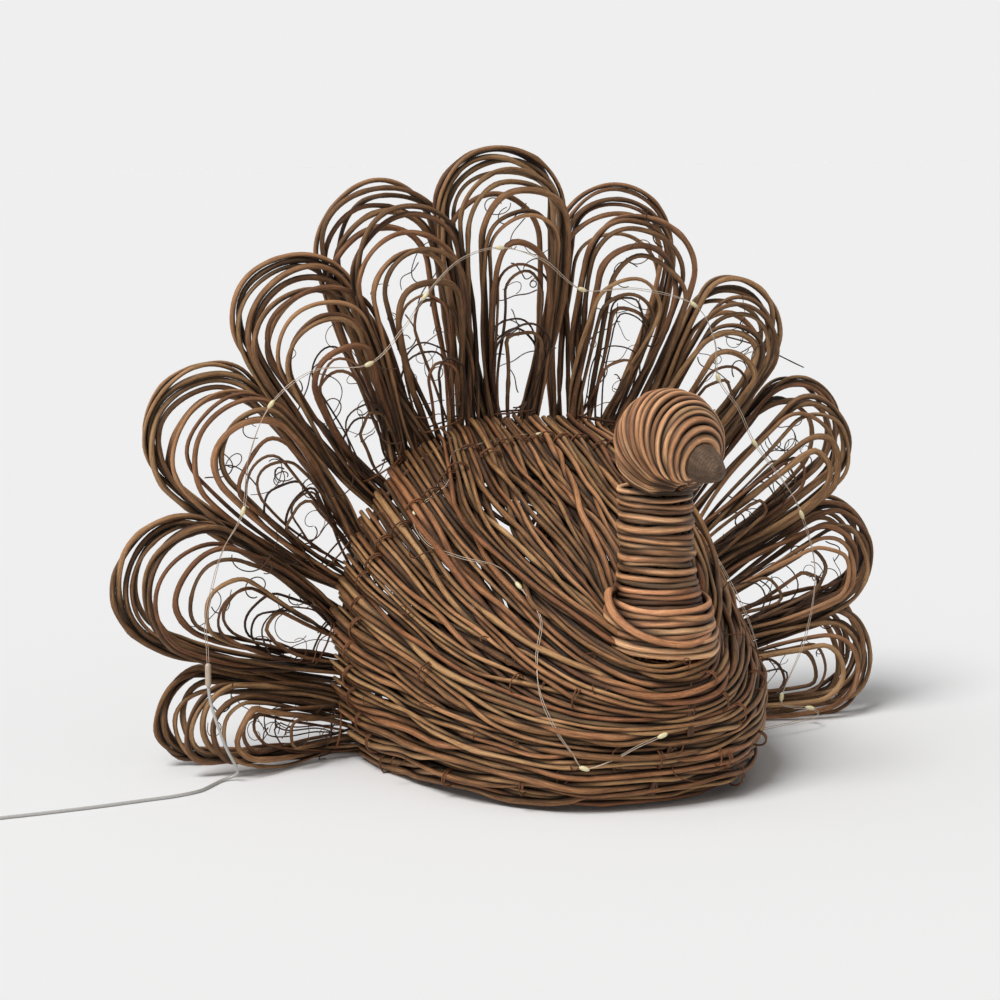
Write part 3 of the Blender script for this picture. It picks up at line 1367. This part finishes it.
def core_rods():
    rods = []
    for k in range(CORE_RODS):
        angle = k * CORE_TURN
        radius = math.sqrt((k + 0.5) / CORE_RODS) * (NECK_RADIUS - NECK_ROD * 1.25)
        line = neck_middle(np.linspace(-0.12, 1.05, 12))
        line[:, 0] += radius * math.cos(angle) + wander(12, CORE_STRAY, 1)
        line[:, 1] += radius * math.sin(angle) + wander(12, CORE_STRAY, 1)
        rods.append(Rod(line, NECK_ROD, tone=0.5))
    return rods


def head_core_rods():
    rods = []
    radius = HEAD_RADIUS - HEAD_ROD * 1.5
    for k in range(HEAD_CORE_RODS):
        tilt = math.pi * k / HEAD_CORE_RODS
        normal = unit(np.array((math.cos(tilt), math.sin(tilt), 0.25)))
        toward = unit(np.cross(normal, (0.1, 0.2, 1)))
        across = np.cross(normal, toward)
        angle = np.linspace(0, 0.97, 40) * FULL_TURN
        line = ellipse(angle, toward, radius, across, radius) + HEAD_MIDDLE
        rods.append(Rod(line, HEAD_ROD * 1.2, tone=0.1))
    return rods


# Beak and twig
BEAK_PLACES_SHARES = [0, 0.3, 0.5, 0.7, 0.85, 0.96, 1]
BEAK_RADIUS_SHARES = [1, 0.98, 0.88, 0.72, 0.56, 0.44, 0.37]
TWIG_FROM = np.array((133, 12, 236)) * MM
TWIG_TO = np.array((184, 5, 217)) * MM
TWIG_BEND = 1.5 * MM


def beak_rod():
    """A short cut branch, its bark ringed, its tip cut flat."""
    way = level_way(BEAK_TURN) * math.cos(BEAK_DROP) - np.array((0, 0, math.sin(BEAK_DROP)))
    share = np.linspace(0, 1, 60)
    start = HEAD_MIDDLE + way * (HEAD_RADIUS - HEAD_ROD * 1.6)
    line = start + way * ((BEAK_LENGTH + HEAD_ROD) * share)[:, None]
    rod = Rod(line, 2 * BEAK_RADIUS, taper=0, tone=0.45, red=0.25, rough=0.015)
    rings = 1 + 0.035 * np.sin(share * 70 + 4 * share**2) * ease(share * 3)
    rod.radii = BEAK_RADIUS * np.interp(share, BEAK_PLACES_SHARES, BEAK_RADIUS_SHARES) * rings
    return rod


def twig_rod():
    """One straight twig stands out from the ninth petal."""
    share = np.linspace(0, 1, 20)
    line = TWIG_FROM + (TWIG_TO - TWIG_FROM) * share[:, None]
    line[:, 2] += TWIG_BEND * np.sin(share * 4)
    return Rod(line, TENDRIL * 1.3, tone=0.1)


# Everything made of rods
BODY_MOST = 4 * MM  # the most that settling moves a body rod
PETAL_MOST = 3.2 * MM
WOUND_SHADE = 0.9
BREAST_TIES = 16
BODY_TENDRILS = 60


def in_bands(rods, count, low, high):
    """The rods sorted by their place into equal bands, the outer bands open to their outer side."""
    bands = [[] for _ in range(count)]
    for rod in rods:
        band = math.floor((rod.place - low) / (high - low) * count)
        bands[min(max(band, 0), count - 1)].append(rod)
    return bands


def build_rods():
    body = body_rods() + lining_rods(LINING_RODS)
    ridge = ridge_rods() + ridge_lining(RIDGE_LINING)
    arch = arch_rods()
    petals = [petal_rods(i) for i in range(len(PETAL_ANGLES_DEG))]
    loops = [rod for petal in petals for rod in petal]
    settle(body + ridge, 24, BODY_MOST)
    settle(loops, 18, PETAL_MOST)
    for rod in body + loops:
        rod.points[:, 2] = np.maximum(rod.points[:, 2], rod.radii)
    neck = neck_rods()
    head = head_rods()
    shade(body + ridge + arch)
    shade(loops)
    shade(neck + head, WOUND_SHADE)
    brown, dark, tan, thin, tie, bark = vines.values()
    for i, members in enumerate(in_bands(body, COURSE_COUNT, 0, COURSE_SHARE)):
        label = f"{i + 1:02d}"
        make_piece(f"body_rods_{label}", members, brown, [f"body_course_{label}"])
    for i, members in enumerate(in_bands(ridge, RIDGE_COUNT, -1, 1), 1):
        make_piece(f"ridge_rods_{i}", members, brown, [f"ridge_course_{i}"])
    for i, petal in enumerate(petals):
        label = f"{i + 1:02d}"
        make_piece(f"petal_rods_{label}", petal, dark, [f"tail_petal_{label}"])
        make_piece(f"petal_tendrils_{label}", petal_tendrils(i), thin, sides=THIN_SIDES)
    make_piece("neck_rods", neck, tan, ["neck_winding"], WOUND_SIDES)
    make_piece("neck_bundle", core_rods(), bark, ["neck_core"])
    make_piece("head_rods", head, tan, ["head_winding"], WOUND_SIDES)
    make_piece("head_bundle", head_core_rods(), bark, ["head_core"])
    make_piece("beak_branch", [beak_rod()], bark, ["beak"], sides=24)
    make_piece("arch_rods", arch, brown)
    ties = body_ties(2 * BUNDLE_COUNT + BREAST_TIES)
    make_piece("body_ties", ties, tie, sides=THIN_SIDES)
    make_piece("stem_ties", stem_ties(), tie, sides=THIN_SIDES)
    make_piece("twig", [twig_rod()], thin, sides=THIN_SIDES)
    make_piece("body_tendrils", body_tendrils(BODY_TENDRILS), tie, sides=THIN_SIDES)


build_rods()


# Tie strips of split cane over the front
STRIP_SPAN_SHARES = [(0.37, 0.62), (0.26, 0.345), (0.05, 0.17)]  # up the skin
STRIP_TURNS_DEG = [4, 0, -1]
CANE_LIE = 0.9 * MM  # above the skin
CANE_STRAY = 0.4 * MM


def add_strips():
    for i, (span, turn) in enumerate(zip(STRIP_SPAN_SHARES, STRIP_TURNS_DEG), 1):
        share = np.linspace(*span, 16)
        rods = []
        for offset in (-CANE_APART, 0, CANE_APART):
            line = inside_skin(share, math.radians(turn), np.full(len(share), -CANE_LIE))
            line[:, 0] += offset + wander(len(share), CANE_STRAY, 2)
            rods.append(Rod(line, CANE, tone=0.6))
        make_piece(f"cane_strip_{i}", rods, vines["thin_vine"], [f"tie_strip_{i}"], sides=6)


add_strips()


# The light string: two fine wires with a resin bead round each light
def over_skin(share, turn_deg):
    return inside_skin(share, math.radians(turn_deg), -STRING_LIE)


def string_stations():
    """The points that the string passes, and whether a light sits there."""
    stations = [(np.array((x, STRING_FRONT, z)), is_light) for x, z, is_light in TAIL_ROUTE]
    stations += [(np.array(point), False) for point in STRING_CROSSING]
    stations += [(over_skin(share, turn), is_light) for share, turn, is_light in RIGHT_ROUTE_SHARES]
    for across, along, is_light in RIDGE_ROUTE_SHARES:
        lift = ridge_normal(across, along) * STRING_LIE
        stations.append((ridge_point(across, along) + lift, is_light))
    stations += [(over_skin(share, turn), is_light) for share, turn, is_light in LEFT_ROUTE_SHARES]
    return stations


def bead_rod(point, way):
    share = np.linspace(-1, 1, 15)
    rod = Rod(point + way * (share * BEAD_LENGTH / 2)[:, None], BEAD_WIDTH, taper=0, rough=0)
    rod.radii = BEAD_WIDTH / 2 * np.sqrt(np.maximum(0.06, 1 - np.abs(share) ** 2.2))
    return rod


def add_string():
    stations = string_stations()
    line = smooth_line([point for point, _ in stations], STRING_STEP)
    ahead, side, up = frames_along(line)
    twist = FULL_TURN * np.linspace(0, STRING_TWISTS, len(line)) + wander(len(line), 1, 14)
    away = ellipse(twist, side, 1, up, 1) * STRING_APART / 2
    wires = [Rod(line + away * sign, STRING_WIRE, taper=0, rough=0) for sign in (-1, 1)]
    make_piece("string_wires", wires, plain["clear_wire"], ["light_string"], sides=6)
    beads = []
    for point, is_light in stations:
        if is_light:
            nearest = np.argmin(np.linalg.norm(line - point, axis=1))
            beads.append(bead_rod(point, ahead[nearest]))
    make_piece("light_beads", beads, plain["bead_resin"], sides=12)


add_string()


# The sleeve where the string joins the lead
SPLICE_PLACES_SHARES = [0, 0.06, 0.12, 0.88, 0.94, 1]
SPLICE_RADIUS_SHARES = [0.7, 0.95, 1, 1, 0.95, 0.7]


def add_splice():
    share = np.linspace(0, 1, 18)
    line = np.array(LEAD_ROUTE[0]) + np.array((0, 0, 1)) * (GAP + SPLICE_LENGTH * share)[:, None]
    rod = Rod(line, SPLICE, taper=0, rough=0)
    rod.radii = SPLICE / 2 * np.interp(share, SPLICE_PLACES_SHARES, SPLICE_RADIUS_SHARES)
    make_piece("splice_sleeve", [rod], plain["clear_wire"], ["lead_splice"], sides=16)


add_splice()


# Frame wires and battery box keep their solids and get their finish
CASE_EDGE = 0.5 * MM
SWITCH_EDGE = 0.4 * MM
CELL_EDGE = 0.3 * MM
STEEL_NODES = ["wire_frame", "frame_hoop", "frame_ring", "frame_rib_back", "frame_rib_1", "frame_rib_2"]
STEEL_NODES += ["frame_rib_3", "tail_clamp_wire", "contact_near", "contact_far"]
CASE_NODES = ["battery_case", "battery_cover", "strain_relief"]
CELL_NODES = ["battery_1", "battery_2", "battery_3"]


def finish_nodes(names, material, edge=0):
    """Gives the nodes their material, and rounds their edges by this much."""
    for name in names:
        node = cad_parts[name]
        node.data.materials.clear()
        node.data.materials.append(material)
        if edge:
            modifier = node.modifiers.new("edges", "BEVEL")
            modifier.width = edge
            modifier.segments = 3
            modifier.limit_method = "ANGLE"


finish_nodes(STEEL_NODES, plain["steel_wire"])
finish_nodes(CASE_NODES, plain["case_plastic"], CASE_EDGE)
finish_nodes(["slide_switch"], plain["switch_plastic"], SWITCH_EDGE)
finish_nodes(CELL_NODES, plain["cell_wrap"], CELL_EDGE)


# Floor, light and background
FLOOR_SIZE = 30.0
BACKGROUND = colour(239, 239, 239)
SUN_SHARE = 0.64
SUN_HEIGHT = math.radians(56)
SUN_SIDE = math.radians(-62)
SUN_WIDTH = math.radians(26)
SKY_RISE = 0.3  # the sky is this much lighter overhead than at the level
SKY_FRONT = 0.06  # and this much lighter in front than behind
SKY_SIDE = 0.23  # and on the bird's right


def add_floor():
    bpy.ops.mesh.primitive_plane_add(size=FLOOR_SIZE)
    floor = bpy.context.object
    floor.name = "floor"
    material, tree, shader = new_material("floor")
    set_inputs(tree, shader, {"Base Color": BACKGROUND, "Roughness": 1, "Specular IOR Level": 0})
    floor.data.materials.append(material)


def add_sun():
    data = bpy.data.lights.new("sun", "SUN")
    data.energy = math.pi * SUN_SHARE / math.sin(SUN_HEIGHT)
    data.angle = SUN_WIDTH
    x, y, _ = -level_way(SUN_SIDE) * math.cos(SUN_HEIGHT)
    aim(add_object("sun", data), (x, y, -math.sin(SUN_HEIGHT)))


def add_sky():
    """A pale sky that lights the scene, and the plain background that the camera sees."""
    world = bpy.data.worlds.new("world")
    bpy.context.scene.world = world
    world.use_nodes = True
    tree = world.node_tree
    place = add_node(tree, "TexCoord", {}, "Generated")
    x, y, z = [add_node(tree, "SeparateXYZ", {"Vector": place}, axis) for axis in "XYZ"]
    overhead = add_math(tree, "MAXIMUM", z, 0.0)
    level = 1 - SUN_SHARE - SKY_RISE * 2 / 3
    strength = add_sum(tree, level, (overhead, SKY_RISE), (y, -SKY_FRONT), (x, -SKY_SIDE))
    strength = add_math(tree, "MAXIMUM", strength, 0.0)
    light = tree.nodes["Background"]
    set_inputs(tree, light, {"Color": (1, 1, 1, 1), "Strength": strength})
    seen = add_node(tree, "Background", {"Color": BACKGROUND})
    camera, glossy, through = [
        add_node(tree, "LightPath", {}, f"Is {kind} Ray") for kind in ("Camera", "Glossy", "Transmission")
    ]
    either = add_math(tree, "MAXIMUM", add_math(tree, "MAXIMUM", camera, glossy), through)
    choice = add_node(tree, "MixShader", {0: either, 1: light.outputs[0], 2: seen})
    set_inputs(tree, tree.nodes["World Output"], {"Surface": choice})


add_floor()
add_sun()
add_sky()
bpy.context.scene.view_settings.view_transform = "Standard"
